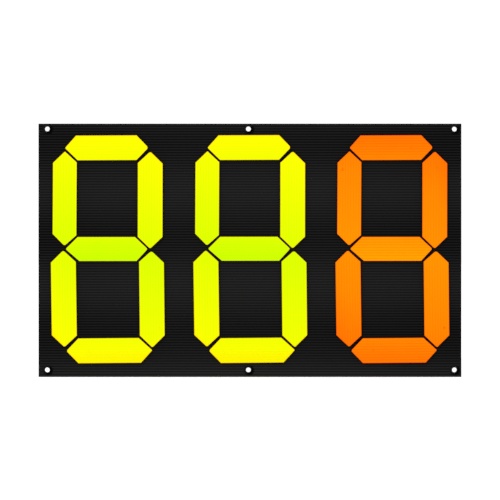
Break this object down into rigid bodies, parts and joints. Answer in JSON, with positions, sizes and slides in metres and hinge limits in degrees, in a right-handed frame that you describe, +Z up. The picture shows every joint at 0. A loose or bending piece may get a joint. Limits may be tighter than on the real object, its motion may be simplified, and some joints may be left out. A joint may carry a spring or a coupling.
{
  "type": "hand-set seven-segment number board",
  "caption": "Black fluted-plastic board with large seven-segment digits in fluorescent yellow and orange; a leaf on each segment folds over by hand to blank it. Hangs by edge eyelets.",
  "frame": {"origin": "centre of the panel's rear face, the side that lies against a stand", "axes": "+X to the viewer's right along the panel's width and flutes, +Z up, the front with the digits faces -Y"},
  "size_m": [0.8014, 0.0123, 0.48],
  "materials": {
    "black_fluted_sheet": "satin black twin-wall sheet with fine straight flute lines",
    "fluorescent_yellow_sheet": "fluorescent yellow-green front on twin-wall sheet with flute lines along each segment",
    "fluorescent_orange_sheet": "fluorescent orange front on twin-wall sheet with flute lines along each segment",
    "black_eyelet": "semi-gloss black"
  },
  "bodies": {
    "board": {"board_panel": "black_fluted_sheet", "hundreds_top_base": "fluorescent_yellow_sheet", "hundreds_upper_left_base": "fluorescent_yellow_sheet", "hundreds_upper_right_base": "fluorescent_yellow_sheet", "hundreds_middle_base": "fluorescent_yellow_sheet", "hundreds_lower_left_base": "fluorescent_yellow_sheet", "hundreds_lower_right_base": "fluorescent_yellow_sheet", "hundreds_bottom_base": "fluorescent_yellow_sheet", "tens_top_base": "fluorescent_yellow_sheet", "tens_upper_left_base": "fluorescent_yellow_sheet", "tens_upper_right_base": "fluorescent_yellow_sheet", "tens_middle_base": "fluorescent_yellow_sheet", "tens_lower_left_base": "fluorescent_yellow_sheet", "tens_lower_right_base": "fluorescent_yellow_sheet", "tens_bottom_base": "fluorescent_yellow_sheet", "units_top_base": "fluorescent_orange_sheet", "units_upper_left_base": "fluorescent_orange_sheet", "units_upper_right_base": "fluorescent_orange_sheet", "units_middle_base": "fluorescent_orange_sheet", "units_lower_left_base": "fluorescent_orange_sheet", "units_lower_right_base": "fluorescent_orange_sheet", "units_bottom_base": "fluorescent_orange_sheet", "eyelet_top_left": "black_eyelet", "eyelet_top_middle": "black_eyelet", "eyelet_top_right": "black_eyelet", "eyelet_bottom_left": "black_eyelet", "eyelet_bottom_middle": "black_eyelet", "eyelet_bottom_right": "black_eyelet", "eyelet_washer_top_left": "black_eyelet", "eyelet_washer_top_middle": "black_eyelet", "eyelet_washer_top_right": "black_eyelet", "eyelet_washer_bottom_left": "black_eyelet", "eyelet_washer_bottom_middle": "black_eyelet", "eyelet_washer_bottom_right": "black_eyelet"},
    "hundreds_top_leaf": {"hundreds_top_leaf": "fluorescent_yellow_sheet"},
    "hundreds_upper_left_leaf": {"hundreds_upper_left_leaf": "fluorescent_yellow_sheet"},
    "hundreds_upper_right_leaf": {"hundreds_upper_right_leaf": "fluorescent_yellow_sheet"},
    "hundreds_middle_leaf": {"hundreds_middle_leaf": "fluorescent_yellow_sheet"},
    "hundreds_lower_left_leaf": {"hundreds_lower_left_leaf": "fluorescent_yellow_sheet"},
    "hundreds_lower_right_leaf": {"hundreds_lower_right_leaf": "fluorescent_yellow_sheet"},
    "hundreds_bottom_leaf": {"hundreds_bottom_leaf": "fluorescent_yellow_sheet"},
    "tens_top_leaf": {"tens_top_leaf": "fluorescent_yellow_sheet"},
    "tens_upper_left_leaf": {"tens_upper_left_leaf": "fluorescent_yellow_sheet"},
    "tens_upper_right_leaf": {"tens_upper_right_leaf": "fluorescent_yellow_sheet"},
    "tens_middle_leaf": {"tens_middle_leaf": "fluorescent_yellow_sheet"},
    "tens_lower_left_leaf": {"tens_lower_left_leaf": "fluorescent_yellow_sheet"},
    "tens_lower_right_leaf": {"tens_lower_right_leaf": "fluorescent_yellow_sheet"},
    "tens_bottom_leaf": {"tens_bottom_leaf": "fluorescent_yellow_sheet"},
    "units_top_leaf": {"units_top_leaf": "fluorescent_orange_sheet"},
    "units_upper_left_leaf": {"units_upper_left_leaf": "fluorescent_orange_sheet"},
    "units_upper_right_leaf": {"units_upper_right_leaf": "fluorescent_orange_sheet"},
    "units_middle_leaf": {"units_middle_leaf": "fluorescent_orange_sheet"},
    "units_lower_left_leaf": {"units_lower_left_leaf": "fluorescent_orange_sheet"},
    "units_lower_right_leaf": {"units_lower_right_leaf": "fluorescent_orange_sheet"},
    "units_bottom_leaf": {"units_bottom_leaf": "fluorescent_orange_sheet"}
  },
  "joints": [
    {"name": "hundreds_top_fold", "type": "hinge", "parent": "board", "child": "hundreds_top_leaf", "pos_m": [-0.2711, -0.01055, 0.1939], "axis": [-1, 0, -0.0045], "range_deg": [0, 177]},
    {"name": "hundreds_upper_left_fold", "type": "hinge", "parent": "board", "child": "hundreds_upper_left_leaf", "pos_m": [-0.3506, -0.01055, 0.0978], "axis": [0.0052, 0, 1], "range_deg": [0, 177]},
    {"name": "hundreds_upper_right_fold", "type": "hinge", "parent": "board", "child": "hundreds_upper_right_leaf", "pos_m": [-0.1888, -0.01055, 0.0949], "axis": [-0.0016, 0, -1], "range_deg": [0, 177]},
    {"name": "hundreds_middle_fold", "type": "hinge", "parent": "board", "child": "hundreds_middle_leaf", "pos_m": [-0.2713, -0.01055, 0.0024], "axis": [-1, 0, -0.0007], "range_deg": [0, 177]},
    {"name": "hundreds_lower_left_fold", "type": "hinge", "parent": "board", "child": "hundreds_lower_left_leaf", "pos_m": [-0.3522, -0.01055, -0.0917], "axis": [-0.0133, 0, 0.9999], "range_deg": [0, 177]},
    {"name": "hundreds_lower_right_fold", "type": "hinge", "parent": "board", "child": "hundreds_lower_right_leaf", "pos_m": [-0.1856, -0.01055, -0.0926], "axis": [0.0106, 0, -0.9999], "range_deg": [0, 177]},
    {"name": "hundreds_bottom_fold", "type": "hinge", "parent": "board", "child": "hundreds_bottom_leaf", "pos_m": [-0.2661, -0.01055, -0.1898], "axis": [-1, 0, -0.0086], "range_deg": [0, 177]},
    {"name": "tens_top_fold", "type": "hinge", "parent": "board", "child": "tens_top_leaf", "pos_m": [-0.0014, -0.01055, 0.1944], "axis": [-1, 0, -0.0045], "range_deg": [0, 177]},
    {"name": "tens_upper_left_fold", "type": "hinge", "parent": "board", "child": "tens_upper_left_leaf", "pos_m": [-0.0809, -0.01055, 0.0983], "axis": [0.0052, 0, 1], "range_deg": [0, 177]},
    {"name": "tens_upper_right_fold", "type": "hinge", "parent": "board", "child": "tens_upper_right_leaf", "pos_m": [0.0809, -0.01055, 0.0954], "axis": [-0.0016, 0, -1], "range_deg": [0, 177]},
    {"name": "tens_middle_fold", "type": "hinge", "parent": "board", "child": "tens_middle_leaf", "pos_m": [-0.0016, -0.01055, 0.0029], "axis": [-1, 0, -0.0007], "range_deg": [0, 177]},
    {"name": "tens_lower_left_fold", "type": "hinge", "parent": "board", "child": "tens_lower_left_leaf", "pos_m": [-0.0825, -0.01055, -0.0912], "axis": [-0.0133, 0, 0.9999], "range_deg": [0, 177]},
    {"name": "tens_lower_right_fold", "type": "hinge", "parent": "board", "child": "tens_lower_right_leaf", "pos_m": [0.0841, -0.01055, -0.0921], "axis": [0.0106, 0, -0.9999], "range_deg": [0, 177]},
    {"name": "tens_bottom_fold", "type": "hinge", "parent": "board", "child": "tens_bottom_leaf", "pos_m": [0.0036, -0.01055, -0.1893], "axis": [-1, 0, -0.0086], "range_deg": [0, 177]},
    {"name": "units_top_fold", "type": "hinge", "parent": "board", "child": "units_top_leaf", "pos_m": [0.2675, -0.01055, 0.1942], "axis": [-1, 0, -0.0045], "range_deg": [0, 177]},
    {"name": "units_upper_left_fold", "type": "hinge", "parent": "board", "child": "units_upper_left_leaf", "pos_m": [0.188, -0.01055, 0.0981], "axis": [0.0052, 0, 1], "range_deg": [0, 177]},
    {"name": "units_upper_right_fold", "type": "hinge", "parent": "board", "child": "units_upper_right_leaf", "pos_m": [0.3498, -0.01055, 0.0952], "axis": [-0.0016, 0, -1], "range_deg": [0, 177]},
    {"name": "units_middle_fold", "type": "hinge", "parent": "board", "child": "units_middle_leaf", "pos_m": [0.2673, -0.01055, 0.0027], "axis": [-1, 0, -0.0007], "range_deg": [0, 177]},
    {"name": "units_lower_left_fold", "type": "hinge", "parent": "board", "child": "units_lower_left_leaf", "pos_m": [0.1864, -0.01055, -0.0914], "axis": [-0.0133, 0, 0.9999], "range_deg": [0, 177]},
    {"name": "units_lower_right_fold", "type": "hinge", "parent": "board", "child": "units_lower_right_leaf", "pos_m": [0.353, -0.01055, -0.0923], "axis": [0.0106, 0, -0.9999], "range_deg": [0, 177]},
    {"name": "units_bottom_fold", "type": "hinge", "parent": "board", "child": "units_bottom_leaf", "pos_m": [0.2725, -0.01055, -0.1895], "axis": [-1, 0, -0.0086], "range_deg": [0, 177]}
  ]
}
